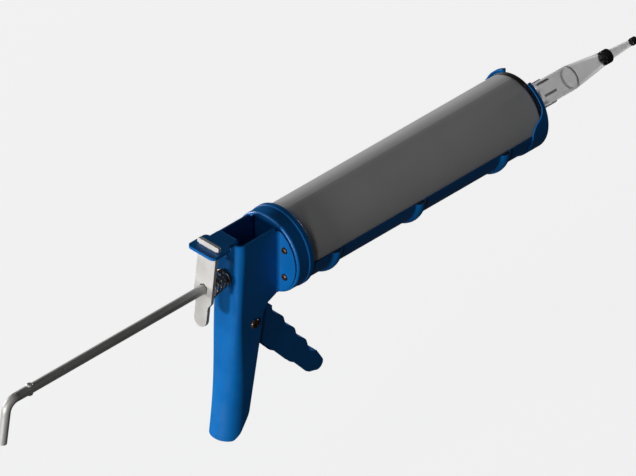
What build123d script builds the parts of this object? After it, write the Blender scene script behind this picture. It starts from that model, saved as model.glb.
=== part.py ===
from build123d import *
from math import atan, cos, degrees, radians, sin, sqrt
import os

# Cradle caulking gun with a cartridge and nozzle loaded.
# Millimetres. +X points forwards to the nozzle, +Y to the left, +Z up.
# The origin is the middle of the hand grip, where the hand closes round it.

# ---- driving dimensions -------------------------------------------------------------
rod_z = 70.0  # height of the rod's axis, which is the cartridge's axis too

# cartridge, 310 ml
tube_radius = 25.0
tube_wall = 0.9
tube_rear_x = 36.7
tube_front_x = 250.4

# cradle and caps, pressed from sheet
cap_face_x = 253.0
cap_wall = 1.3
sheet = 0.9
cradle_inner = 25.5
cradle_outer = cradle_inner + sheet
cradle_edge_drop = 3.3  # the cradle's long edges lie this far below the axis
cap_inner = cradle_outer + 0.05
cap_outer = 27.4
bead_centres = (67.0, 140.5, 215.7)
bead_half_width = 4.25
bead_height = 2.4
slot_half_width = 11.0

# handle, a folded channel
handle_wall = 1.3
handle_half_width = 11.6
handle_back_top_x = -4.0
head_top = 26.0  # heights with no note are above the rod's axis
grip_bottom = -118.8
ear_rear_x = 30.0
ear_radius = 25.9
bend_radius = 2.6
fold_radius_head = 4.3
fold_radius_foot = 11.3
fold_grows_below = -35.0
rod_clearance_radius = 4.3  # the rod's hole in the handle's back

# rear cap
rear_cap_x = ear_rear_x + handle_wall
rear_cap_disc = 1.0
rear_cap_front_x = 44.8
rivet_spread_y = 16.6
rivet_spread_z = 10.0
rivet_radius = 1.55

# push rod, a hexagonal bar with a corner upwards
hex_flats = 5.45
hex_radius = hex_flats / sqrt(3)
rod_rear_x = -187.2
rod_front_x = 86.5
stud_radius = 2.5
hook_radius = 3.0
hook_bend = 8.2
hook_turn = 81.0
hook_leg = 22.4
stop_pin_x = -175.0

# trigger
pivot_x = 8.7
pivot_height = -37.1
pin_radius = 2.0
trigger_half_width = 9.5
trigger_wall = 1.2
nose_arm = 25.0
nose_swing = 15.0  # the nose stands this far behind the upright at rest
nose_radius = 3.0

# drive plate and its spring
drive_plate_thick = 3.0
drive_plate_gap = 0.3

# release bracket and release plate
bracket_thick = 2.0
bracket_gap = 1.4  # the bracket clears the top of the handle's back by this
bracket_rivet_height = 14.5
slot_x = -19.5
release_thick = 2.4
release_lean = 7.45

# nozzle
nozzle_start_x = 255.4
nozzle_skirt_end_x = 269.7
nozzle_cone_x = 299.0
nozzle_ring_x = 328.5
nozzle_tip_x = 334.3
collar_x = 354.3
nozzle_end_x = 358.6
outlet_radius = 1.2

running_gap = 0.05  # a pin in its hole, on the radius

# ---- shared planes and helpers --------------------------------------------------------
# seen from the right: local x forwards, local y up from the rod's axis
side = Plane(origin=(0, 0, rod_z), x_dir=(1, 0, 0), z_dir=(0, -1, 0))
rod_axis = Axis((0, 0, rod_z), (1, 0, 0))


def across(x):
    """Plane square to the rod at x: local x to the left, local y up."""
    return Plane(origin=(x, 0, rod_z), x_dir=(0, 1, 0), z_dir=(1, 0, 0))


def handle_back_x(height):
    """The handle's back leans, and leans more towards the foot of the grip."""
    drop = head_top - height
    return handle_back_top_x - 0.0175 * drop - 0.00041 * drop**2


def handle_corner(height):
    """Outer radius of the fold, which grows below the head until the two folds meet."""
    return min(fold_radius_foot, fold_radius_head + 0.11 * max(0.0, fold_grows_below - height))


def save(name, builder):
    builder.part.label = name
    export_step(builder.part, f"parts/{name}.step")


os.makedirs("parts", exist_ok=True)

# ---- handle frame: one folded channel with two ears -------------------------------------
# seen from the right: the head, the front edge of the flanges and the foot
flange_outline = [
    (-40, head_top),
    (ear_rear_x - bend_radius, head_top),
    (ear_rear_x - bend_radius, -23.6),
    (20.5, -26.6),
    (16.8, -31.5),
    (13.2, -52.2),
    (3.6, -103.5),
    (-3.5, -114.5),
    (-9.0, grip_bottom),
    (-40, grip_bottom),
]
# one radius for each corner of the outline, from the head's front down to the foot
flange_rounding = [2.6, 0.4, 3.0, 4.0, 8.0, 16.0, 10.0, 4.0]
fold_heights = (28, 0, -35, -60, -90, -124)
fold_front_x = 60.0

with BuildPart() as handle_frame:
    # the outside of the fold
    for height in fold_heights:
        with BuildSketch(Plane.XY.offset(rod_z + height)):
            with Locations((handle_back_x(height), 0)):
                Rectangle(
                    fold_front_x - handle_back_x(height),
                    2 * handle_half_width,
                    align=(Align.MIN, Align.CENTER),
                )
            fillet(vertices().sort_by(Axis.X)[:2], handle_corner(height))
    loft()
    # the inside of the fold, open at the front
    for height in fold_heights:
        with BuildSketch(Plane.XY.offset(rod_z + height)):
            with Locations((handle_back_x(height) + handle_wall, 0)):
                Rectangle(
                    2 * fold_front_x,
                    2 * (handle_half_width - handle_wall),
                    align=(Align.MIN, Align.CENTER),
                )
            fillet(vertices().sort_by(Axis.X)[:2], handle_corner(height) - handle_wall)
    loft(mode=Mode.SUBTRACT)
    # trim to the flange's outline
    with BuildSketch(side):
        with BuildLine():
            FilletPolyline(*flange_outline, radius=flange_rounding, close=False)
            Line(flange_outline[-1], flange_outline[0])
        make_face()
    extrude(amount=40, both=True, mode=Mode.INTERSECT)

with BuildPart() as ears:
    # the flange's front folds outwards and lies on the rear cap
    for hand in (1, -1):
        flange_out = hand * handle_half_width
        flange_in = hand * (handle_half_width - handle_wall)
        with BuildSketch(Plane.XY.offset(rod_z)):
            with BuildLine():
                Line((ear_rear_x - bend_radius, flange_in), (ear_rear_x - bend_radius, flange_out))
                TangentArc(
                    (ear_rear_x - bend_radius, flange_out),
                    (ear_rear_x, flange_out + hand * bend_radius),
                    tangent=(1, 0),
                )
                Polyline(
                    (ear_rear_x, flange_out + hand * bend_radius),
                    (ear_rear_x, hand * 30),
                    (rear_cap_x, hand * 30),
                    (rear_cap_x, flange_out + hand * bend_radius),
                )
                TangentArc(
                    (rear_cap_x, flange_out + hand * bend_radius),
                    (ear_rear_x - bend_radius, flange_in),
                    tangent=(0, -hand),
                )
            make_face()
        extrude(amount=30, both=True)
    with BuildSketch(across(0)):
        Circle(ear_radius)
    extrude(amount=60, mode=Mode.INTERSECT)

with BuildPart() as handle_frame_drilled:
    add(handle_frame.part)
    add(ears.part)
    # the rod's hole and the bracket rivet's hole in the back
    with BuildSketch(across(-12)):
        Circle(rod_clearance_radius)
        with Locations((0, bracket_rivet_height)):
            Circle(rivet_radius + running_gap)
    extrude(amount=14, mode=Mode.SUBTRACT)
    # the pivot pin's holes
    with BuildSketch(side):
        with Locations((pivot_x, pivot_height)):
            Circle(pin_radius + running_gap)
    extrude(amount=20, both=True, mode=Mode.SUBTRACT)
    # the rivet holes in the ears
    with BuildSketch(across(ear_rear_x - 1)):
        with GridLocations(2 * rivet_spread_y, 2 * rivet_spread_z, 2, 2):
            Circle(rivet_radius + running_gap)
    extrude(amount=4, mode=Mode.SUBTRACT)
save("handle_frame", handle_frame_drilled)

# ---- rear cap: a pressed cup ----------------------------------------------------------
bushing_hole = 8.0
with BuildPart() as rear_cap:
    with BuildSketch(side):
        with BuildLine():
            Polyline(
                (rear_cap_x, bushing_hole),
                (rear_cap_x, cap_outer),
                (40.6, cap_outer),
                (41.4, cap_outer + 0.5),
                (rear_cap_front_x, cap_outer + 0.5),
                (rear_cap_front_x, cap_inner),
                (rear_cap_x + rear_cap_disc, cap_inner),
                (rear_cap_x + rear_cap_disc, bushing_hole),
                close=True,
            )
        make_face()
        fillet(vertices().sort_by_distance((rear_cap_x, cap_outer))[0], 1.5)
        fillet(vertices().sort_by_distance((rear_cap_front_x, cap_outer + 0.5))[0], 0.5)
    revolve(axis=rod_axis)
    with BuildSketch(across(rear_cap_x)):
        with GridLocations(2 * rivet_spread_y, 2 * rivet_spread_z, 2, 2):
            Circle(rivet_radius + running_gap)
    extrude(amount=rear_cap_disc, mode=Mode.SUBTRACT)
save("rear_cap", rear_cap)

# ---- four hollow rivets through the ears and the rear cap ---------------------------------
rivet_head_radius = 2.4
rivet_head = 1.3
with BuildPart() as cap_rivets:
    for y in (-rivet_spread_y, rivet_spread_y):
        for z in (-rivet_spread_z, rivet_spread_z):
            with BuildSketch(Plane(origin=(0, y, rod_z + z), x_dir=(1, 0, 0), z_dir=(0, -1, 0))):
                with BuildLine():
                    Polyline(
                        (ear_rear_x - 0.2, 0),
                        (rear_cap_x + 2.0, 0),
                        (rear_cap_x + 2.0, 2.3),
                        (rear_cap_x + rear_cap_disc, 2.5),
                        (rear_cap_x + rear_cap_disc, rivet_radius),
                        (ear_rear_x, rivet_radius),
                        (ear_rear_x, rivet_head_radius),
                    )
                    ThreePointArc(
                        (ear_rear_x, rivet_head_radius),
                        (ear_rear_x - 1.0, 1.95),
                        (ear_rear_x - rivet_head, 1.2),
                    )
                    Line((ear_rear_x - rivet_head, 1.2), (ear_rear_x - 0.2, 0.9))
                    Line((ear_rear_x - 0.2, 0.9), (ear_rear_x - 0.2, 0))
                make_face()
            revolve(axis=Axis((0, y, rod_z + z), (1, 0, 0)))
save("cap_rivets", cap_rivets)

# ---- bushing that guides the rod through the rear cap ---------------------------------------
bushing_rear_x = 28.3
bushing_flange_x = rear_cap_x + rear_cap_disc
bushing_front_x = bushing_flange_x + 1.4
bushing_bore = 3.55
with BuildPart() as rod_bushing:
    with BuildSketch(side):
        with BuildLine():
            Polyline(
                (bushing_rear_x, bushing_bore),
                (bushing_rear_x, bushing_hole - 0.6),
                (bushing_rear_x + 0.6, bushing_hole - running_gap),
                (bushing_flange_x, bushing_hole - running_gap),
                (bushing_flange_x, 11.5),
                (bushing_front_x, 11.5),
                (bushing_front_x, bushing_bore),
                close=True,
            )
        make_face()
    revolve(axis=rod_axis)
save("rod_bushing", rod_bushing)

# ---- cradle: a half-round trough with three pressed beads --------------------------------------
cradle_rear_x = 33.4
cradle_front_x = cap_face_x - cap_wall - 0.1
with BuildPart() as cradle:
    with BuildSketch(side):
        with BuildLine():
            start = cradle_rear_x
            for centre in bead_centres:
                Line((start, cradle_outer), (centre - bead_half_width, cradle_outer))
                ThreePointArc(
                    (centre - bead_half_width, cradle_outer),
                    (centre, cradle_outer + bead_height),
                    (centre + bead_half_width, cradle_outer),
                )
                start = centre + bead_half_width
            Polyline(
                (start, cradle_outer),
                (cradle_front_x, cradle_outer),
                (cradle_front_x, cradle_inner),
            )
            start = cradle_front_x
            for centre in reversed(bead_centres):
                inner_half_width = bead_half_width - 0.6 * sheet
                Line((start, cradle_inner), (centre + inner_half_width, cradle_inner))
                ThreePointArc(
                    (centre + inner_half_width, cradle_inner),
                    (centre, cradle_inner + bead_height),
                    (centre - inner_half_width, cradle_inner),
                )
                start = centre - inner_half_width
            Polyline((start, cradle_inner), (cradle_rear_x, cradle_inner), (cradle_rear_x, cradle_outer))
        make_face()
        bead_feet = [v for v in vertices() if abs(v.Y - cradle_outer) < 0.01 and 34 < v.X < 250]
        fillet(bead_feet, 1.2)
    revolve(axis=rod_axis)
    # everything above the long edges is open
    with BuildSketch(across(0)):
        with Locations((0, -cradle_edge_drop)):
            Rectangle(100, 100, align=(Align.CENTER, Align.MIN))
    extrude(amount=300, mode=Mode.SUBTRACT)
save("cradle", cradle)

# ---- front cap: a cup with a slot for the nozzle, cut back at the top ----------------------------
skirt_long_x = cap_face_x - 13.8
skirt_short_x = cap_face_x - 3.0
skirt_step_low = -1.0
skirt_step_high = 13.0
skirt_step_mid = (skirt_step_low + skirt_step_high) / 2
with BuildPart() as front_cap:
    with BuildSketch(side):
        with BuildLine():
            Polyline(
                (skirt_long_x, cap_inner),
                (skirt_long_x, cap_outer),
                (cap_face_x, cap_outer),
                (cap_face_x, 0),
                (cap_face_x - cap_wall, 0),
                (cap_face_x - cap_wall, cap_inner),
                close=True,
            )
        make_face()
        fillet(vertices().sort_by_distance((cap_face_x, cap_outer))[0], 0.9)
    revolve(axis=rod_axis)
    # the skirt steps back to a short lip above the cradle's edges
    with BuildSketch(side):
        with BuildLine():
            step_middle = ((skirt_long_x + skirt_short_x) / 2, skirt_step_mid)
            Line((skirt_long_x - 5, skirt_step_low), (skirt_long_x, skirt_step_low))
            Spline(
                (skirt_long_x, skirt_step_low),
                step_middle,
                (skirt_short_x, skirt_step_high),
                tangents=[(0.2, 1), (0.2, 1)],
            )
            Polyline(
                (skirt_short_x, skirt_step_high),
                (skirt_short_x, 40),
                (skirt_long_x - 5, 40),
                (skirt_long_x - 5, skirt_step_low),
            )
        make_face()
    extrude(amount=40, both=True, mode=Mode.SUBTRACT)
    # the nozzle's slot
    with BuildSketch(across(skirt_long_x - 5)):
        Circle(slot_half_width)
        Rectangle(2 * slot_half_width, 40, align=(Align.CENTER, Align.MIN))
    extrude(amount=30, mode=Mode.SUBTRACT)
save("front_cap", front_cap)

# ---- trigger pivot pin and its clip -------------------------------------------------------------
pin_head_radius = 3.3
pin_head = 1.4
pin_end_y = handle_half_width + 2.4
clip_thick = 0.8
clip_radius = 4.2
dimple_radius = 1.3


def pivot_plane(y):
    """Plane square to the pivot at y, looking to the right: local x forwards, local y up."""
    return Plane(origin=(pivot_x, y, rod_z + pivot_height), x_dir=(1, 0, 0), z_dir=(0, -1, 0))


with BuildPart() as trigger_pin:
    with BuildSketch(pivot_plane(pin_end_y)):
        Circle(pin_radius)
    extrude(amount=pin_end_y + handle_half_width)
    chamfer(edges().sort_by(Axis.Y)[-1], 0.4)
    with BuildSketch(pivot_plane(-handle_half_width)):
        Circle(pin_head_radius)
    extrude(amount=pin_head)
    fillet(edges().sort_by(Axis.Y)[0], 0.9)
    # a shallow dimple left by the rivet set
    with BuildSketch(pivot_plane(-handle_half_width - pin_head)):
        Circle(dimple_radius)
    extrude(amount=-0.5, mode=Mode.SUBTRACT)
save("trigger_pin", trigger_pin)

with BuildPart() as pin_clip:
    with BuildSketch(pivot_plane(handle_half_width + 0.1)):
        Circle(clip_radius)
        Circle(pin_radius + running_gap, mode=Mode.SUBTRACT)
        # three spring fingers bite on the pin
        with PolarLocations(0, 3):
            with Locations((3.0, 0)):
                Rectangle(1.2, 0.9, mode=Mode.SUBTRACT)
    extrude(amount=-clip_thick)
save("trigger_pin_clip", pin_clip)

# ---- trigger: a channel, open to the grip, with a finger wave down its front ---------------------
nose_x = pivot_x - nose_arm * sin(radians(nose_swing))
nose_height = pivot_height + nose_arm * cos(radians(nose_swing))
blade_top = (21.2, -28.0)
blade_angle = -54.1
wave_start = 6.9
wave_pitch = 16.7
wave_hollow = 7.0  # from a crest down to the next hollow
wave_count = 4
blade_dir = Vector(cos(radians(blade_angle)), sin(radians(blade_angle)))
blade_in = Vector(sin(radians(blade_angle)), -cos(radians(blade_angle)))


def blade_point(along, inwards):
    """A point beside the blade's front line, measured down it and in from it."""
    return Vector(*blade_top) + blade_dir * along + blade_in * inwards


def wave_points(inset):
    """Crests and hollows of the finger wave, from the top of the blade to its tip."""
    points = [blade_point(wave_start, inset - 1.0)]
    for number in range(wave_count):
        crest = wave_start + number * wave_pitch
        points.append(blade_point(crest + wave_hollow, inset + 1.2))
        points.append(blade_point(crest + wave_pitch, inset - 1.0))
    return points


wave_outer = wave_points(0.0)
wave_inner = wave_points(trigger_wall)
nose_back = (nose_x - nose_radius, nose_height)
nose_front = (nose_x + nose_radius, nose_height)
boss_rear = (2.2, -44.0)
throat_top = (nose_x + nose_radius, -19.0)
boss_front = (13.5, -27.0)
blade_rear = blade_point(17.5, 20.4)
blade_waist = blade_point(57.0, 16.4)
blade_narrow = blade_point(61.5, 14.7)
blade_heel = blade_point(80.5, 12.1)
with BuildPart() as trigger:
    with BuildSketch(side):
        with BuildLine():
            Line(blade_top, wave_outer[0])
            Spline(*wave_outer)
            Line(wave_outer[-1], blade_point(84.1, -0.1))
            ThreePointArc(blade_point(84.1, -0.1), blade_point(87.2, 3.5), blade_point(84.3, 8.9))
            Polyline(
                blade_point(84.3, 8.9),
                blade_heel,
                blade_point(77.2, 13.3),
                blade_narrow,
                blade_waist,
                blade_rear,
                boss_rear,
                nose_back,
            )
            ThreePointArc(nose_back, (nose_x, nose_height + nose_radius), nose_front)
            Polyline(nose_front, throat_top, boss_front, blade_top)
        make_face()
        fillet(vertices().sort_by_distance(boss_rear)[0], 6.0)
        fillet(vertices().sort_by_distance(blade_rear)[0], 8.0)
        fillet(vertices().sort_by_distance(boss_front)[0], 4.0)
        fillet(vertices().sort_by_distance(blade_top)[0], 2.5)
        fillet(vertices().sort_by_distance(blade_heel)[0], 2.0)
        fillet(vertices().sort_by_distance(blade_narrow)[0], 6.0)
        fillet(vertices().sort_by_distance(blade_waist)[0], 6.0)
    extrude(amount=trigger_half_width, both=True)
    # hollow it from the grip's side, leaving the front wall, the tip and the two cheeks
    with BuildSketch(side):
        with BuildLine():
            Line(blade_point(-4, trigger_wall), wave_inner[0])
            Spline(*wave_inner)
            Line(wave_inner[-1], blade_point(82.0, 1.4))
            ThreePointArc(blade_point(82.0, 1.4), blade_point(84.5, 4.5), blade_point(82.0, 8.5))
            Polyline(
                blade_point(82.0, 8.5),
                blade_point(82.0, 60.0),
                blade_point(-60, 60.0),
                blade_point(-60, -1.0),
                (19.0, -14.0),
                blade_point(-4, trigger_wall),
            )
        make_face()
    extrude(amount=trigger_half_width - trigger_wall, both=True, mode=Mode.SUBTRACT)
    with BuildSketch(side):
        with Locations((pivot_x, pivot_height)):
            Circle(pin_radius + running_gap)
    extrude(amount=20, both=True, mode=Mode.SUBTRACT)
save("trigger", trigger)

# ---- drive plate: the trigger's noses push it, and it pushes the rod ------------------------------
drive_plate_x = nose_x + nose_radius + drive_plate_gap
drive_plate_half_width = handle_half_width - handle_wall - 0.7
with BuildPart() as drive_plate:
    with BuildSketch(across(drive_plate_x)):
        Circle(drive_plate_half_width)
        Rectangle(2 * drive_plate_half_width, 17, align=(Align.CENTER, Align.MAX))
        fillet(vertices().sort_by(Axis.Y)[:2], 2.0)
        RegularPolygon(hex_radius + 0.3, 6, rotation=90, mode=Mode.SUBTRACT)
    extrude(amount=drive_plate_thick)
    chamfer(faces().sort_by(Axis.X)[0].outer_wire().edges(), 0.4)
save("drive_plate", drive_plate)


def coil_spring(start_x, end_x, start_radius, end_radius, wire_radius, turns):
    """A spring round the rod, from start_x forwards to end_x."""
    length = end_x - start_x - 2 * wire_radius
    cone = degrees(atan((end_radius - start_radius) / length))
    with BuildPart() as spring:
        with BuildLine() as coil:
            Helix(
                length / turns,
                length,
                start_radius,
                center=(start_x + wire_radius, 0, rod_z),
                direction=(1, 0, 0),
                cone_angle=cone,
            )
        with BuildSketch(Plane(origin=coil.line @ 0, z_dir=coil.line % 0)):
            Circle(wire_radius)
        sweep(is_frenet=True)
    return spring


# ---- drive spring: pushes the drive plate back to the trigger's noses -----------------------------
drive_spring_start = drive_plate_x + drive_plate_thick + 0.1
drive_spring = coil_spring(drive_spring_start, bushing_rear_x - 0.1, 5.2, 5.2, 0.55, 4.5)
save("drive_spring", drive_spring)

# ---- release bracket: a bent plate riveted inside the handle's back ---------------------------------
bracket_leg_x = handle_back_x(head_top) + handle_wall + 0.1
bracket_front_x = bracket_leg_x + bracket_thick
bracket_under = head_top + bracket_gap
bracket_top = bracket_under + bracket_thick
bracket_tail_x = -27.3
bracket_neck_x = -10.5
bracket_neck_width = 16.8
bracket_leg_width = 13.6  # narrow enough to lie between the handle's folds
bracket_leg_end = 8.5
bracket_slot_length = 3.8
bracket_slot_width = 15.9
with BuildPart() as release_bracket:
    with BuildSketch(side):
        with BuildLine():
            Polyline(
                (bracket_tail_x, bracket_under),
                (bracket_tail_x, bracket_top),
                (bracket_front_x, bracket_top),
                (bracket_front_x, bracket_leg_end),
                (bracket_leg_x, bracket_leg_end),
                (bracket_leg_x, bracket_under),
                close=True,
            )
        make_face()
        fillet(vertices().sort_by_distance((bracket_front_x, bracket_top))[0], 2.0)
        fillet(vertices().sort_by_distance((bracket_leg_x, bracket_under))[0], 0.7)
    extrude(amount=handle_half_width, both=True)
    # seen from above: a narrow neck, a wide tail and a slot for the release plate
    with BuildSketch(Plane.XY.offset(rod_z)):
        with Locations((bracket_tail_x, 0)):
            Rectangle(
                bracket_neck_x - bracket_tail_x,
                2 * handle_half_width,
                align=(Align.MIN, Align.CENTER),
            )
        fillet(vertices(), 3.0)
        with Locations((slot_x, 0)):
            Rectangle(
                bracket_leg_x - 0.6 - slot_x,
                bracket_neck_width,
                align=(Align.MIN, Align.CENTER),
            )
            Rectangle(30, bracket_leg_width, align=(Align.MIN, Align.CENTER))
            Rectangle(bracket_slot_length, bracket_slot_width, mode=Mode.SUBTRACT)
    extrude(amount=40, mode=Mode.INTERSECT)
    with BuildSketch(across(-10)):
        with Locations((0, bracket_rivet_height)):
            Circle(rivet_radius + running_gap)
    extrude(amount=15, mode=Mode.SUBTRACT)
save("release_bracket", release_bracket)

# ---- rivet that holds the bracket to the handle's back ---------------------------------------------
rivet_back_x = handle_back_x(bracket_rivet_height) - 0.15
with BuildPart() as bracket_rivet:
    with BuildSketch(Plane(origin=(0, 0, rod_z + bracket_rivet_height), x_dir=(1, 0, 0), z_dir=(0, -1, 0))):
        with BuildLine():
            ThreePointArc((rivet_back_x - 1.2, 0), (rivet_back_x - 0.8, 1.6), (rivet_back_x, 2.4))
            Polyline(
                (rivet_back_x, 2.4),
                (rivet_back_x, rivet_radius),
                (bracket_front_x, rivet_radius),
                (bracket_front_x, 2.4),
                (bracket_front_x + 0.9, 2.1),
                (bracket_front_x + 0.9, 0),
                (rivet_back_x - 1.2, 0),
            )
        make_face()
    revolve(axis=Axis((0, 0, rod_z + bracket_rivet_height), (1, 0, 0)))
save("bracket_rivet", bracket_rivet)

# ---- release plate: hangs in the bracket's slot and grips the rod ------------------------------------
lean = radians(release_lean)
release_plane = Plane(
    origin=(slot_x, 0, rod_z + bracket_top + 0.3),
    x_dir=(0, 1, 0),
    z_dir=(cos(lean), 0, -sin(lean)),
)
rod_hole_down = -(bracket_top + 0.3) / cos(lean)
with BuildPart() as release_plate:
    with BuildSketch(release_plane):
        with BuildLine():
            tab = 5.35
            body = 7.65
            shoulder = -38.0
            tab_end = -51.4
            Polyline(
                (-tab, tab_end),
                (-tab, shoulder - 3.3),
                (-body, shoulder),
                (-body, 0),
                (-9.2, 0),
                (-9.2, 2.9),
                (9.2, 2.9),
                (9.2, 0),
                (body, 0),
                (body, shoulder),
                (tab, shoulder - 3.3),
                (tab, tab_end),
            )
            RadiusArc((tab, tab_end), (-tab, tab_end), tab)
        make_face()
        fillet(vertices().group_by(Axis.Y)[-1], 0.9)
        fillet([v for v in vertices() if abs(v.Y - shoulder) < 0.01], 2.0)
        # the hole is a little taller than the rod, so that the plate can tip and grip
        with Locations((0, rod_hole_down)):
            Polygon(
                (0, 3.9),
                (3.15, 2.1),
                (3.15, -2.1),
                (0, -3.9),
                (-3.15, -2.1),
                (-3.15, 2.1),
                mode=Mode.SUBTRACT,
            )
    extrude(amount=release_thick / 2, both=True)
save("release_plate", release_plate)

# ---- release spring: a cone between the handle's back and the release plate -----------------------------
release_spring = coil_spring(-20.1, handle_back_x(0) - 0.1, 8.2, 4.9, 0.6, 4)
save("release_spring", release_spring)

# ---- push rod: a hexagonal bar with a threaded stud in front and a bore behind --------------------------
stud_end_x = rod_front_x + 8.6
spigot_radius = 1.8
spigot_length = 8.0
stop_pin_radius = 1.3
with BuildPart() as push_rod:
    with BuildSketch(across(rod_rear_x)):
        RegularPolygon(hex_radius, 6, rotation=90)
    extrude(amount=rod_front_x - rod_rear_x)
    with BuildSketch(across(rod_front_x)):
        Circle(stud_radius)
    extrude(amount=stud_end_x - rod_front_x)
    chamfer(edges().sort_by(Axis.X)[-1], 0.5)
    with BuildSketch(across(rod_rear_x)):
        Circle(spigot_radius + running_gap)
    extrude(amount=spigot_length + 0.5, mode=Mode.SUBTRACT)
    with BuildSketch(Plane.XY.offset(rod_z)):
        with Locations((stop_pin_x, 0)):
            Circle(stop_pin_radius + running_gap)
    extrude(amount=5, both=True, mode=Mode.SUBTRACT)
save("push_rod", push_rod)

# ---- stop pin: a cross rivet that keeps the rod from running out of the release plate ---------------------
stop_pin_height = hex_radius + 1.0
with BuildPart() as rod_stop_pin:
    with BuildSketch(Plane(origin=(stop_pin_x, 0, rod_z), x_dir=(1, 0, 0), z_dir=(0, -1, 0))):
        with BuildLine():
            Polyline(
                (0, -stop_pin_height),
                (1.5, -stop_pin_height),
                (2.25, -hex_radius - 0.2),
                (2.25, -hex_radius),
                (stop_pin_radius, -hex_radius),
                (stop_pin_radius, hex_radius),
                (2.25, hex_radius),
                (2.25, hex_radius + 0.2),
                (1.5, stop_pin_height),
                (0, stop_pin_height),
                close=True,
            )
        make_face()
    revolve(axis=Axis((stop_pin_x, 0, rod_z), (0, 0, 1)))
save("rod_stop_pin", rod_stop_pin)

# ---- pull hook: a round bar bent down, pressed into the rod's end ------------------------------------------
turn = radians(hook_turn)
bend_end = (rod_rear_x - hook_bend * sin(turn), -hook_bend * (1 - cos(turn)))
leg_end = (bend_end[0] - hook_leg * cos(turn), bend_end[1] - hook_leg * sin(turn))
with BuildPart() as pull_hook:
    with BuildLine(side):
        bend = JernArc((rod_rear_x, 0), (-1, 0), hook_bend, hook_turn)
        Line(bend @ 1, leg_end)
    with BuildSketch(across(rod_rear_x)):
        Circle(hook_radius)
    sweep()
    fillet(edges().sort_by(Axis.Z)[0], 0.6)
    with BuildSketch(across(rod_rear_x)):
        Circle(spigot_radius)
    extrude(amount=spigot_length)
save("pull_hook", pull_hook)

# ---- plunger: a dished disc between a washer and a nut on the rod's stud -------------------------------------
washer_thick = 1.2
washer_radius = 8.0
nut_flat_radius = 4.0
disc_thick = 1.4
disc_x = rod_front_x + washer_thick
disc_front_x = disc_x + disc_thick
nut_height = 4.0
with BuildPart() as plunger_washer:
    with BuildSketch(across(rod_front_x)):
        Circle(washer_radius)
        Circle(stud_radius + running_gap, mode=Mode.SUBTRACT)
    extrude(amount=washer_thick)
save("plunger_washer", plunger_washer)

with BuildPart() as plunger_disc:
    with BuildSketch(side):
        with BuildLine():
            Polyline(
                (disc_x, stud_radius + running_gap),
                (disc_x, 20.2),
                (disc_x - 1.8, 22.0),
                (disc_x - 0.8, 23.0),
                (disc_front_x, 21.2),
                (disc_front_x, stud_radius + running_gap),
                close=True,
            )
        make_face()
    revolve(axis=rod_axis)
save("plunger_disc", plunger_disc)

with BuildPart() as plunger_nut:
    with BuildSketch(across(disc_front_x)):
        RegularPolygon(nut_flat_radius, 6, major_radius=False)
        Circle(stud_radius + running_gap, mode=Mode.SUBTRACT)
    extrude(amount=nut_height)
    chamfer(faces().sort_by(Axis.X)[-1].outer_wire().edges(), 0.4)
save("plunger_nut", plunger_nut)

# ---- cartridge: tube, crimped rim, head with a threaded spout, and the piston inside ---------------------------
rim_step_x = 247.4
rim_front_x = 251.5
with BuildPart() as cartridge_tube:
    with BuildSketch(side):
        with BuildLine():
            Polyline(
                (tube_rear_x, tube_radius - tube_wall),
                (tube_rear_x, tube_radius),
                (rim_step_x, tube_radius),
                (rim_step_x + 0.3, tube_radius - 0.4),
                (tube_front_x, tube_radius - 0.4),
                (tube_front_x, tube_radius - tube_wall),
                close=True,
            )
        make_face()
    revolve(axis=rod_axis)
save("cartridge_tube", cartridge_tube)

with BuildPart() as cartridge_rim:
    with BuildSketch(side):
        with BuildLine():
            Polyline(
                (rim_step_x + 0.5, tube_radius - 0.35),
                (rim_step_x + 0.5, tube_radius + 0.2),
                (rim_front_x, tube_radius + 0.2),
                (rim_front_x, 22.6),
                (rim_front_x - 0.8, 22.6),
                (rim_front_x - 0.8, tube_radius - 0.35),
                close=True,
            )
        make_face()
        fillet(vertices().sort_by_distance((rim_front_x, tube_radius + 0.2))[0], 0.5)
        # a rolled groove sets the tube's end in the crimp
        with Locations((rim_step_x + 1.9, tube_radius + 0.55)):
            Circle(0.6, mode=Mode.SUBTRACT)
    revolve(axis=rod_axis)
save("cartridge_rim", cartridge_rim)

head_rear_x = 249.2
head_front_x = rim_front_x - 0.9
spout_end_x = 268.5
spout_core = 6.3
spout_bore = 4.2
thread_radius = 6.85
thread_pitch = 3.0
thread_count = 4
with BuildPart() as cartridge_head:
    with BuildSketch(side):
        with BuildLine():
            Polyline(
                (head_rear_x, spout_bore),
                (head_rear_x, 22.0),
                (head_rear_x - 3.5, 23.2),
                (head_rear_x - 3.5, tube_radius - tube_wall - 0.05),
                (head_front_x, tube_radius - tube_wall - 0.05),
                (head_front_x, spout_core + 1.5),
                (head_front_x + 1.5, spout_core),
                (spout_end_x, spout_core),
                (spout_end_x, spout_bore),
                close=True,
            )
        make_face()
        for turn_number in range(thread_count):
            ridge_x = nozzle_start_x + 2.0 + turn_number * thread_pitch
            with BuildLine():
                Polyline(
                    (ridge_x - 1.1, spout_core - 0.2),
                    (ridge_x - 0.3, thread_radius),
                    (ridge_x + 0.3, thread_radius),
                    (ridge_x + 1.1, spout_core - 0.2),
                    close=True,
                )
            make_face()
    revolve(axis=rod_axis)
save("cartridge_head", cartridge_head)

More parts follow.
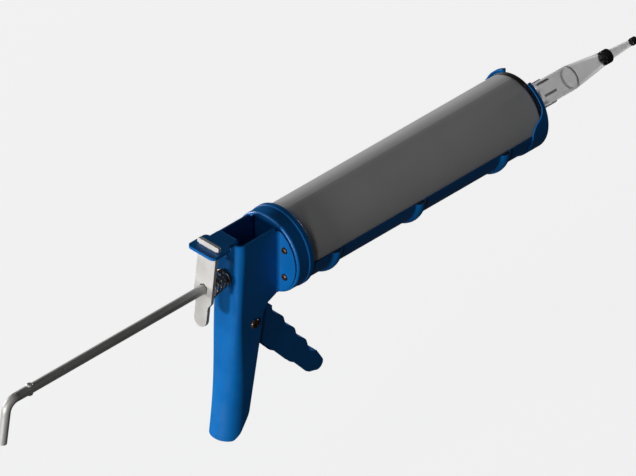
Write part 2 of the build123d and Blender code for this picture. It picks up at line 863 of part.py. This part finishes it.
piston_rear_x = 86.3
piston_step_x = disc_front_x + 0.3
piston_web_x = 100.5
piston_front_x = 103.0
piston_radius = tube_radius - tube_wall - 0.3
with BuildPart() as cartridge_piston:
    with BuildSketch(side):
        with BuildLine():
            Polyline(
                (piston_rear_x, 23.35),
                (piston_rear_x, piston_radius),
                (piston_rear_x + 4, piston_radius),
                (piston_rear_x + 5, piston_radius - 0.8),
                (piston_front_x - 5, piston_radius - 0.8),
                (piston_front_x - 4, piston_radius),
                (piston_front_x - 2, piston_radius),
                (piston_front_x, piston_radius - 2),
                (piston_front_x, 0),
                (piston_web_x, 0),
                (piston_web_x, 19.0),
                (piston_step_x, 19.0),
                (piston_step_x, 22.0),
                (piston_step_x - 1.5, 23.35),
                close=True,
            )
        make_face()
    revolve(axis=rod_axis)
save("cartridge_piston", cartridge_piston)

# ---- nozzle: ribbed base with a cone, knurled ring, thin tip and its collar --------------------------------------
base_radius = 8.1
skirt_radius = 8.45
base_wall = 0.9
ring_radius = 4.75
spigot_out = 3.4
spigot_in = 2.5
rib_count = 6
rib_end_x = nozzle_skirt_end_x + 10.5
rib_proud = 0.6  # the ribs stand this far out of the skirt
rib_width = 1.6
with BuildPart() as nozzle_base:
    with BuildSketch(side):
        with BuildLine():
            Polyline(
                (nozzle_start_x, thread_radius + 0.3),
                (nozzle_start_x, skirt_radius),
                (nozzle_skirt_end_x, skirt_radius),
                (nozzle_skirt_end_x, base_radius),
                (nozzle_cone_x, base_radius),
                (nozzle_ring_x, 4.5),
                (nozzle_ring_x, spigot_out),
                (nozzle_ring_x + 2.8, spigot_out),
                (nozzle_ring_x + 2.8, spigot_in),
                (nozzle_ring_x - 1.0, spigot_in),
                (nozzle_cone_x, base_radius - base_wall),
                (nozzle_start_x + 14.5, base_radius - base_wall),
                (nozzle_start_x + 14.2, thread_radius + 0.3),
                close=True,
            )
        make_face()
    revolve(axis=rod_axis)
    # short ribs behind the skirt's edge give the fingers a hold
    with BuildSketch(side) as rib_side:
        with BuildLine():
            Polyline(
                (nozzle_skirt_end_x - 0.5, base_radius - 0.4),
                (nozzle_skirt_end_x - 0.5, skirt_radius),
                (nozzle_skirt_end_x, skirt_radius + rib_proud),
                (rib_end_x - 0.6, skirt_radius + rib_proud),
                (rib_end_x, base_radius - 0.4),
                close=True,
            )
        make_face()
    rib = extrude(amount=rib_width / 2, both=True)
    for number in range(1, rib_count):
        add(rib.rotate(rod_axis, number * 360 / rib_count))
save("nozzle_base", nozzle_base)

groove_count = 20
with BuildPart() as nozzle_ring:
    with BuildSketch(across(nozzle_ring_x)):
        Circle(ring_radius)
        Circle(spigot_out + running_gap, mode=Mode.SUBTRACT)
    extrude(amount=nozzle_tip_x - nozzle_ring_x)
    chamfer(edges().filter_by(GeomType.CIRCLE).group_by(SortBy.RADIUS)[-1], 0.5)
    with BuildSketch(across(nozzle_ring_x)):
        with PolarLocations(ring_radius + 0.15, groove_count):
            Circle(0.45)
    extrude(amount=nozzle_tip_x - nozzle_ring_x, mode=Mode.SUBTRACT)
save("nozzle_ring", nozzle_ring)

with BuildPart() as nozzle_tip:
    with BuildSketch(side):
        with BuildLine():
            Polyline(
                (nozzle_ring_x + 3.0, spigot_in),
                (nozzle_ring_x + 3.0, spigot_out),
                (nozzle_tip_x, spigot_out),
                (nozzle_tip_x, 3.2),
                (collar_x, 2.05),
                (nozzle_end_x, 1.95),
                (nozzle_end_x, outlet_radius),
                (collar_x - 2.0, outlet_radius),
                (nozzle_tip_x, spigot_in),
                close=True,
            )
        make_face()
    revolve(axis=rod_axis)
save("nozzle_tip", nozzle_tip)

with BuildPart() as nozzle_collar:
    with BuildSketch(side):
        with BuildLine():
            Polyline(
                (collar_x, 2.12),
                (collar_x, 2.45),
                (collar_x + 0.3, 2.6),
                (nozzle_end_x - 0.7, 2.6),
                (nozzle_end_x - 0.3, 2.4),
                (nozzle_end_x - 0.3, 2.12),
                close=True,
            )
        make_face()
    revolve(axis=rod_axis)
save("nozzle_collar", nozzle_collar)
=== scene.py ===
from math import cos, pi, radians, sin, tan

import bmesh
import bpy
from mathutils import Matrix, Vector


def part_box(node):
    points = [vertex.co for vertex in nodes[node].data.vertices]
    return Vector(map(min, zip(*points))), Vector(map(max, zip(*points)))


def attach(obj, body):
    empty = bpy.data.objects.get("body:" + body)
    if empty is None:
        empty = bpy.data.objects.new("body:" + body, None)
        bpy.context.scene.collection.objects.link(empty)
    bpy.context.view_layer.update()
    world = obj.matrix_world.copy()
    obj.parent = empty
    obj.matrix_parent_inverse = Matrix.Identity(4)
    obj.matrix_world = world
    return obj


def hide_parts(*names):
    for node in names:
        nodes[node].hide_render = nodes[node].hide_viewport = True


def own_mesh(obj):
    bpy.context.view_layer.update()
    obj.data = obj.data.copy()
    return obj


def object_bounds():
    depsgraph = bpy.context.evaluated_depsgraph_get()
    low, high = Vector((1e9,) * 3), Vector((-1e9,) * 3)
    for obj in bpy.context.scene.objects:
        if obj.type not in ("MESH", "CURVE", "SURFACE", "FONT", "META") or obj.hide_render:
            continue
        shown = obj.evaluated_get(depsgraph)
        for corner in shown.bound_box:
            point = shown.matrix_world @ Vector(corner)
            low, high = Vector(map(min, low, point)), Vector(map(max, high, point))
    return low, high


# Caulking gun with a loaded cartridge: looks only. Metres, +X to the nozzle, +Z up.
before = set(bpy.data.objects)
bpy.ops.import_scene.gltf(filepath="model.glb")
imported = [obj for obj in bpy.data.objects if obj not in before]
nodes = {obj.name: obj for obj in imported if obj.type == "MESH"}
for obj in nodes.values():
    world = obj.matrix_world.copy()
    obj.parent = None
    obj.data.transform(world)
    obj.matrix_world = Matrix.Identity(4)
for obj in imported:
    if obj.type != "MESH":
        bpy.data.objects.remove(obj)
cad_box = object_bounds()
MM = 0.001

# nozzle, for the places that are coloured darker
ROD_HEIGHT = 0.070  # the axis of the rod, the cartridge and the nozzle
CONE_START = 0.299  # where the nozzle starts to taper
RING_HALF_WIDTH = 0.3 * MM
RING_FADE_END = 0.55 * MM
RIB_START_RADIUS = 8.5 * MM  # just outside the skirt, so only the ribs are coloured
RIB_FULL_RADIUS = 8.7 * MM

# springs
WIRE_SIDES = 12
STEPS_PER_TURN = 40
PLATE_LEAN = radians(7.45)  # the release plate leans this far at rest
PLATE_FACE_X = -22.1 * MM  # just in front of the release plate's face, on the rod's axis

# studio
FLOOR_GLOW = 0.775
FLOOR_HALF_WIDTH = 60
FLOOR_DROP = 0.10  # the floor is this far under the tool's lowest point
LAMP_DISTANCE = 4.0


# ---- node helpers ---------------------------------------------------------------------------
class Mat:
    """A material with its Principled shader and short calls to add nodes to it."""

    def __init__(self, name):
        self.material = bpy.data.materials.new(name)
        self.material.use_nodes = True
        self.tree = self.material.node_tree
        self.shader = self.tree.nodes["Principled BSDF"]
        self.place = self.node("ShaderNodeTexCoord").outputs["Object"]

    def node(self, kind, **settings):
        made = self.tree.nodes.new(kind)
        for key, value in settings.items():
            setattr(made, key, value)
        return made

    def put(self, socket, value):
        """Links a socket, or sets a number or a colour on it."""
        if isinstance(value, bpy.types.NodeSocket):
            self.tree.links.new(value, socket)
        elif isinstance(value, tuple) and len(value) == 3 and len(socket.default_value) == 4:
            socket.default_value = (*value, 1)
        else:
            socket.default_value = value

    def set(self, **inputs):
        for key, value in inputs.items():
            self.put(self.shader.inputs[key.replace("_", " ")], value)

    def stretched(self, scale):
        made = self.node("ShaderNodeMapping")
        self.put(made.inputs["Vector"], self.place)
        made.inputs["Scale"].default_value = scale
        return made.outputs["Vector"]

    def noise(self, scale, detail=2.0, roughness=0.5, vector=None):
        made = self.node("ShaderNodeTexNoise")
        self.put(made.inputs["Vector"], vector or self.place)
        self.put(made.inputs["Scale"], float(scale))
        self.put(made.inputs["Detail"], float(detail))
        self.put(made.inputs["Roughness"], float(roughness))
        return made.outputs["Fac"]

    def cells(self, scale):
        made = self.node("ShaderNodeTexVoronoi")
        self.put(made.inputs["Vector"], self.place)
        self.put(made.inputs["Scale"], float(scale))
        return made.outputs["Distance"]

    def span(self, value, low, high, to_low=0.0, to_high=1.0):
        """value from low..high mapped to to_low..to_high and clamped."""
        made = self.node("ShaderNodeMapRange", clamp=True)
        self.put(made.inputs["Value"], value)
        for key, number in zip(("From Min", "From Max", "To Min", "To Max"), (low, high, to_low, to_high)):
            self.put(made.inputs[key], float(number))
        return made.outputs["Result"]

    def math(self, operation, a, b=0.0):
        made = self.node("ShaderNodeMath", operation=operation)
        self.put(made.inputs[0], a)
        self.put(made.inputs[1], b)
        return made.outputs[0]

    def mix(self, factor, a, b):
        made = self.node("ShaderNodeMix", data_type="RGBA")
        self.put(made.inputs[0], factor)
        self.put(made.inputs[6], a)
        self.put(made.inputs[7], b)
        return made.outputs[2]

    def edges(self, radius):
        """1 on sharp outside edges, 0 on flats, from how far a rounded normal turns away."""
        rounded = self.node("ShaderNodeBevel", samples=4)
        rounded.inputs["Radius"].default_value = radius
        normal = self.node("ShaderNodeNewGeometry").outputs["Normal"]
        dot = self.node("ShaderNodeVectorMath", operation="DOT_PRODUCT")
        self.put(dot.inputs[0], rounded.outputs["Normal"])
        self.put(dot.inputs[1], normal)
        turned = self.math("SUBTRACT", 1.0, dot.outputs["Value"])
        return self.span(turned, 0.02, 0.12)

    def bump(self, height, strength, distance, edge_radius=0.0):
        """A normal from height, over edges that look rounded by edge_radius."""
        made = self.node("ShaderNodeBump")
        self.put(made.inputs["Strength"], float(strength))
        self.put(made.inputs["Distance"], float(distance))
        self.put(made.inputs["Height"], height)
        if edge_radius:
            rounded = self.node("ShaderNodeBevel", samples=4)
            rounded.inputs["Radius"].default_value = edge_radius
            self.put(made.inputs["Normal"], rounded.outputs["Normal"])
        return made.outputs["Normal"]


# ---- materials ------------------------------------------------------------------------------
def blue_enamel():
    m = Mat("blue_enamel")
    mottle = m.noise(38, 4, 0.55)
    paint = m.mix(m.span(mottle, 0.3, 0.7), (0.0022, 0.130, 0.42), (0.0032, 0.156, 0.50))
    # paint is rubbed thin along pressed and cut edges, with small chips down to the steel
    edge = m.edges(0.55 * MM)
    rub = m.math("MULTIPLY", edge, m.span(m.noise(210, 5, 0.65), 0.45, 0.75))
    chip = m.math("MULTIPLY", edge, m.span(m.noise(520, 3, 0.5), 0.66, 0.70))
    colour = m.mix(m.math("MULTIPLY", rub, 0.35), paint, (0.05, 0.24, 0.52))
    colour = m.mix(m.math("MULTIPLY", chip, 0.8), colour, (0.30, 0.30, 0.31))
    scuff = m.span(m.noise(1, 5, 0.7, vector=m.stretched((60, 260, 260))), 0.52, 0.72)
    rough = m.math("ADD", m.span(m.noise(120, 4), 0.3, 0.7, 0.30, 0.42), m.math("MULTIPLY", scuff, 0.14))
    peel = m.noise(820, 1.5, 0.4)
    m.set(Base_Color=colour, Roughness=rough, Metallic=m.math("MULTIPLY", chip, 0.8))
    m.set(Normal=m.bump(peel, 0.10, 0.12 * MM, edge_radius=0.35 * MM))
    m.shader.inputs["Coat Weight"].default_value = 0.12
    m.shader.inputs["Coat Roughness"].default_value = 0.22
    m.shader.inputs["Specular IOR Level"].default_value = 0.30
    return m.material


def satin_zinc():
    """Plated sheet. It is less metallic than the real thing, to match the photo's flat shading."""
    m = Mat("satin_zinc")
    cloud = m.noise(90, 4, 0.6)
    spangle = m.cells(900)
    base = m.mix(m.span(cloud, 0.35, 0.7), (0.62, 0.60, 0.575), (0.71, 0.695, 0.67))
    tarnish = m.span(m.noise(420, 4, 0.7), 0.62, 0.75)
    base = m.mix(m.math("MULTIPLY", tarnish, 0.35), base, (0.30, 0.28, 0.25))
    roll = m.noise(1, 2, 0.5, vector=m.stretched((900, 900, 60)))
    m.set(Base_Color=base, Metallic=0.25)
    m.set(Roughness=m.span(m.math("ADD", cloud, m.math("MULTIPLY", spangle, 0.4)), 0.3, 1.1, 0.34, 0.55))
    m.set(Normal=m.bump(roll, 0.12, 0.05 * MM, edge_radius=0.25 * MM))
    return m.material


def drawn_steel():
    """Bar stock. It is less metallic than the real thing, to match the photo's flat shading."""
    m = Mat("drawn_steel")
    draw_lines = m.noise(1, 3, 0.6, vector=m.stretched((14, 1500, 1500)))
    stain = m.noise(45, 5, 0.65)
    base = m.mix(m.span(stain, 0.35, 0.7), (0.50, 0.495, 0.475), (0.60, 0.595, 0.575))
    rust = m.span(m.noise(260, 5, 0.7), 0.60, 0.72)
    base = m.mix(m.math("MULTIPLY", rust, 0.5), base, (0.17, 0.14, 0.11))
    m.set(Base_Color=base, Metallic=0.4)
    m.set(Roughness=m.span(draw_lines, 0.25, 0.75, 0.42, 0.56))
    m.set(Normal=m.bump(draw_lines, 0.20, 0.04 * MM, edge_radius=0.2 * MM))
    return m.material


def spring_wire():
    m = Mat("spring_wire")
    base = m.mix(m.span(m.noise(320, 4, 0.6), 0.35, 0.7), (0.26, 0.19, 0.13), (0.42, 0.34, 0.26))
    m.set(Base_Color=base, Metallic=0.9)
    m.set(Roughness=m.span(m.noise(700, 3), 0.3, 0.7, 0.28, 0.42))
    m.set(Normal=m.bump(m.noise(2400, 2), 0.15, 0.03 * MM))
    return m.material


def bronze_rivet():
    m = Mat("bronze_rivet")
    base = m.mix(m.span(m.noise(500, 4, 0.6), 0.35, 0.7), (0.10, 0.065, 0.045), (0.20, 0.145, 0.11))
    m.set(Base_Color=base, Metallic=0.85)
    m.set(Roughness=m.span(m.noise(900, 3), 0.3, 0.7, 0.32, 0.5))
    m.set(Normal=m.bump(m.noise(1600, 2), 0.2, 0.05 * MM, edge_radius=0.15 * MM))
    return m.material


def cartridge_plastic():
    m = Mat("cartridge_plastic")
    flow = m.noise(1, 3, 0.5, vector=m.stretched((5, 160, 160)))
    base = m.mix(m.span(m.noise(22, 4, 0.5), 0.3, 0.7), (0.72, 0.72, 0.72), (0.78, 0.78, 0.78))
    scuff = m.span(m.noise(1, 6, 0.75, vector=m.stretched((110, 30, 30))), 0.60, 0.72)
    base = m.mix(m.math("MULTIPLY", scuff, 0.25), base, (0.84, 0.84, 0.84))
    m.set(Base_Color=base)
    m.set(Roughness=m.math("ADD", m.span(flow, 0.3, 0.7, 0.33, 0.42), m.math("MULTIPLY", scuff, 0.15)))
    grain = m.math("ADD", flow, m.math("MULTIPLY", m.noise(1400, 1), 0.3))
    m.set(Normal=m.bump(grain, 0.10, 0.08 * MM, edge_radius=0.2 * MM))
    m.shader.inputs["Specular IOR Level"].default_value = 0.4
    return m.material


def crimp_metal():
    m = Mat("crimp_metal")
    base = m.mix(m.span(m.noise(300, 4), 0.35, 0.7), (0.035, 0.035, 0.037), (0.075, 0.075, 0.078))
    m.set(Base_Color=base, Metallic=0.6)
    m.set(Roughness=m.span(m.noise(600, 3), 0.3, 0.7, 0.30, 0.45))
    m.set(Normal=m.bump(m.noise(900, 2), 0.15, 0.04 * MM, edge_radius=0.2 * MM))
    return m.material


def milky_plastic():
    """The nozzle: thin plastic that light passes through."""
    m = Mat("milky_plastic")
    haze = m.noise(70, 4, 0.6)
    base = m.mix(m.span(haze, 0.3, 0.7), (0.60, 0.60, 0.60), (0.68, 0.68, 0.68))
    # a dark ring where the cone starts, and dark ribs, in place of the lines drawn in the photo
    along = m.node("ShaderNodeSeparateXYZ")
    m.put(along.inputs[0], m.place)
    away = m.math("ABSOLUTE", m.math("SUBTRACT", along.outputs["X"], CONE_START))
    ring = m.span(away, RING_HALF_WIDTH, RING_FADE_END, 1.0, 0.0)
    across = m.node("ShaderNodeCombineXYZ")
    m.put(across.inputs["Y"], along.outputs["Y"])
    m.put(across.inputs["Z"], m.math("SUBTRACT", along.outputs["Z"], ROD_HEIGHT))
    radius = m.node("ShaderNodeVectorMath", operation="LENGTH")
    m.put(radius.inputs[0], across.outputs["Vector"])
    rib = m.span(radius.outputs["Value"], RIB_START_RADIUS, RIB_FULL_RADIUS)
    line = m.math("MAXIMUM", ring, rib)
    base = m.mix(m.math("MULTIPLY", line, 0.95), base, (0.02, 0.02, 0.02))
    m.set(Base_Color=base)
    m.set(Roughness=m.span(m.noise(300, 3), 0.3, 0.7, 0.34, 0.46))
    m.set(Normal=m.bump(m.noise(600, 2), 0.08, 0.05 * MM, edge_radius=0.15 * MM))
    m.shader.inputs["Transmission Weight"].default_value = 0.97
    # real plastic is near 1.5, and bends light too much for the clear look in the photo
    m.shader.inputs["IOR"].default_value = 1.06
    m.shader.inputs["Coat Weight"].default_value = 0.4
    m.shader.inputs["Coat Roughness"].default_value = 0.3
    return m.material


def dark_plastic():
    m = Mat("dark_plastic")
    base = m.mix(m.span(m.noise(260, 4), 0.35, 0.7), (0.018, 0.018, 0.019), (0.040, 0.040, 0.042))
    m.set(Base_Color=base)
    m.set(Roughness=m.span(m.noise(600, 3), 0.3, 0.7, 0.38, 0.52))
    m.set(Normal=m.bump(m.noise(1500, 2), 0.2, 0.05 * MM, edge_radius=0.12 * MM))
    return m.material


def piston_plastic():
    m = Mat("piston_plastic")
    base = m.mix(m.span(m.noise(80, 4), 0.3, 0.7), (0.72, 0.71, 0.67), (0.82, 0.81, 0.78))
    m.set(Base_Color=base)
    m.set(Roughness=m.span(m.noise(260, 3), 0.3, 0.7, 0.42, 0.55))
    m.set(Normal=m.bump(m.noise(900, 2), 0.10, 0.05 * MM))
    return m.material


def pale_floor():
    """It gives off its own light, so the background is even."""
    m = Mat("pale_floor")
    base = m.mix(m.span(m.noise(2, 3), 0.3, 0.7), (0.30, 0.30, 0.30), (0.31, 0.31, 0.31))
    m.set(Base_Color=base, Roughness=0.9)
    m.shader.inputs["Emission Color"].default_value = (1, 1, 1, 1)
    m.shader.inputs["Emission Strength"].default_value = FLOOR_GLOW
    return m.material


blue = blue_enamel()
zinc = satin_zinc()
steel = drawn_steel()
wire = spring_wire()
bronze = bronze_rivet()
tube_plastic = cartridge_plastic()
crimp = crimp_metal()
milky = milky_plastic()
dark = dark_plastic()
natural = piston_plastic()

materials = {
    blue: ("handle_frame", "rear_cap", "cradle", "front_cap", "trigger", "release_bracket", "bracket_rivet"),
    zinc: ("rod_bushing", "drive_plate", "release_plate", "plunger_washer", "plunger_disc", "plunger_nut"),
    steel: ("push_rod", "pull_hook", "rod_stop_pin"),
    wire: ("drive_spring", "release_spring", "trigger_pin_clip"),
    bronze: ("cap_rivets", "trigger_pin"),
    tube_plastic: ("cartridge_tube", "cartridge_head"),
    crimp: ("cartridge_rim",),
    natural: ("cartridge_piston",),
    milky: ("nozzle_base", "nozzle_tip"),
    dark: ("nozzle_ring", "nozzle_collar"),
}
for material, names in materials.items():
    for name in names:
        for slot in nodes[name].material_slots:
            slot.link = "OBJECT"
            slot.material = material


# ---- springs --------------------------------------------------------------------------------
def coil(name, low, high, radii, wire_radius, turns, axis_z, lean=0.0, closed=0.9):
    """A spring along X from low to high, with open turns between two closed ends.

    closed is the number of turns in each closed end, and radii holds the coil's radius at low and
    at high. lean tilts the end at low like the plate it presses on.
    """
    dead = closed * 2 * wire_radius
    free = (high - low) - 2 * wire_radius - 2 * dead
    total = turns + 2 * closed
    count = int(total * STEPS_PER_TURN)
    centres = []
    for number in range(count + 1):
        turn = total * number / count
        if turn < closed:
            x = low + wire_radius + dead * turn / closed
        elif turn < closed + turns:
            x = low + wire_radius + dead + free * (turn - closed) / turns
        else:
            x = low + wire_radius + dead + free + dead * (turn - closed - turns) / closed
        share = (x - low) / (high - low)
        radius = radii[0] + (radii[1] - radii[0]) * share
        angle = 2 * pi * turn + pi / 2
        y, z = radius * cos(angle), radius * sin(angle)
        x += tan(lean) * z * (1 - share)
        centres.append(Vector((x, y, axis_z + z)))
    mesh = bmesh.new()
    rings = []
    for number, centre in enumerate(centres):
        ahead = centres[min(number + 1, count)] - centres[max(number - 1, 0)]
        ahead.normalize()
        out = Vector((0, centre.y, centre.z - axis_z)).normalized()
        up = ahead.cross(out).normalized()
        out = up.cross(ahead)
        ring = []
        for side in range(WIRE_SIDES):
            angle = 2 * pi * side / WIRE_SIDES
            ring.append(mesh.verts.new(centre + (out * cos(angle) + up * sin(angle)) * wire_radius))
        rings.append(ring)
    for first, second in zip(rings, rings[1:]):
        for side in range(WIRE_SIDES):
            after = (side + 1) % WIRE_SIDES
            mesh.faces.new((first[side], first[after], second[after], second[side]))
    mesh.faces.new(rings[0])
    mesh.faces.new(reversed(rings[-1]))
    bmesh.ops.recalc_face_normals(mesh, faces=mesh.faces)
    data = bpy.data.meshes.new(name)
    mesh.to_mesh(data)
    mesh.free()
    for polygon in data.polygons:
        polygon.use_smooth = len(polygon.vertices) == 4
    piece = bpy.data.objects.new(name, data)
    bpy.context.scene.collection.objects.link(piece)
    data.materials.append(wire)
    return piece


rod_low, rod_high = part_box("push_rod")
rod_z = (rod_low.z + rod_high.z) / 2

spring_low, spring_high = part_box("drive_spring")
drive_coil = coil(
    "drive_coil",
    spring_low.x,
    spring_high.x,
    (5.2 * MM, 5.2 * MM),
    0.55 * MM,
    3.6,
    rod_z,
)
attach(drive_coil, "handle")
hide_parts("drive_spring")
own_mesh(drive_coil)

spring_low, spring_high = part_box("release_spring")
release_coil = coil(
    "release_coil",
    PLATE_FACE_X,
    spring_high.x,
    (8.2 * MM, 4.9 * MM),
    0.6 * MM,
    3.9,
    rod_z,
    lean=PLATE_LEAN,
    closed=0.5,
)
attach(release_coil, "handle")
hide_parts("release_spring")
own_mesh(release_coil)

# ---- floor, lights, world, camera -------------------------------------------------------------
target = Vector((0.0761, 0.0003, 0.0582))
floor_mesh = bpy.data.meshes.new("studio_floor")
floor_shape = bmesh.new()
bmesh.ops.create_grid(floor_shape, x_segments=8, y_segments=8, size=FLOOR_HALF_WIDTH)
floor_shape.to_mesh(floor_mesh)
floor_shape.free()
floor = bpy.data.objects.new("studio_floor", floor_mesh)
floor.location.z = cad_box[0].z - FLOOR_DROP
floor_mesh.materials.append(pale_floor())
bpy.context.scene.collection.objects.link(floor)
# the tool's surfaces don't reflect the floor or take bounced light from it
floor.visible_diffuse = False
floor.visible_glossy = False


def softbox(name, direction, size, power):
    """A round area light that faces the target from direction."""
    light = bpy.data.lights.new(name, "AREA")
    light.shape = "DISK"
    light.size = size
    light.energy = power
    lamp = bpy.data.objects.new(name, light)
    bpy.context.scene.collection.objects.link(lamp)
    way = Vector(direction).normalized()
    lamp.location = target + way * LAMP_DISTANCE
    lamp.rotation_mode = "QUATERNION"
    lamp.rotation_quaternion = way.to_track_quat("Z", "Y")


softbox("key", (-1.0, -0.03, 0.05), 0.7, 105)
softbox("key_left", (-0.86, 0.5, 0.05), 0.7, 38)
softbox("key_right", (-0.9, -0.42, 0.06), 0.7, 18)
softbox("rim", (-0.15, 1.0, 0.08), 1.0, 95)
softbox("top", (-0.8, -0.1, 0.55), 1.2, 9)
softbox("front", (1.0, 0.1, 0.06), 0.8, 90)

world = bpy.data.worlds.new("studio")
world.use_nodes = True
world.node_tree.nodes["Background"].inputs["Color"].default_value = (1, 1, 1, 1)
world.node_tree.nodes["Background"].inputs["Strength"].default_value = 0.02
bpy.context.scene.world = world

camera_data = bpy.data.cameras.new("camera")
camera_data.sensor_width = 36
camera_data.lens = 1200  # long, so the view is nearly parallel, as in the photo
camera = bpy.data.objects.new("camera", camera_data)
bpy.context.scene.collection.objects.link(camera)
view_back = Vector((-1, -1, 1)).normalized()
view_width = 0.3955  # width of the picture where the target is
view_distance = view_width * camera_data.lens / camera_data.sensor_width
camera.location = target + view_back * view_distance
camera.rotation_mode = "QUATERNION"
camera.rotation_quaternion = view_back.to_track_quat("Z", "Y")
camera_data.clip_start = 0.1
camera_data.clip_end = 200
bpy.context.scene.camera = camera
bpy.context.scene.view_settings.view_transform = "Standard"
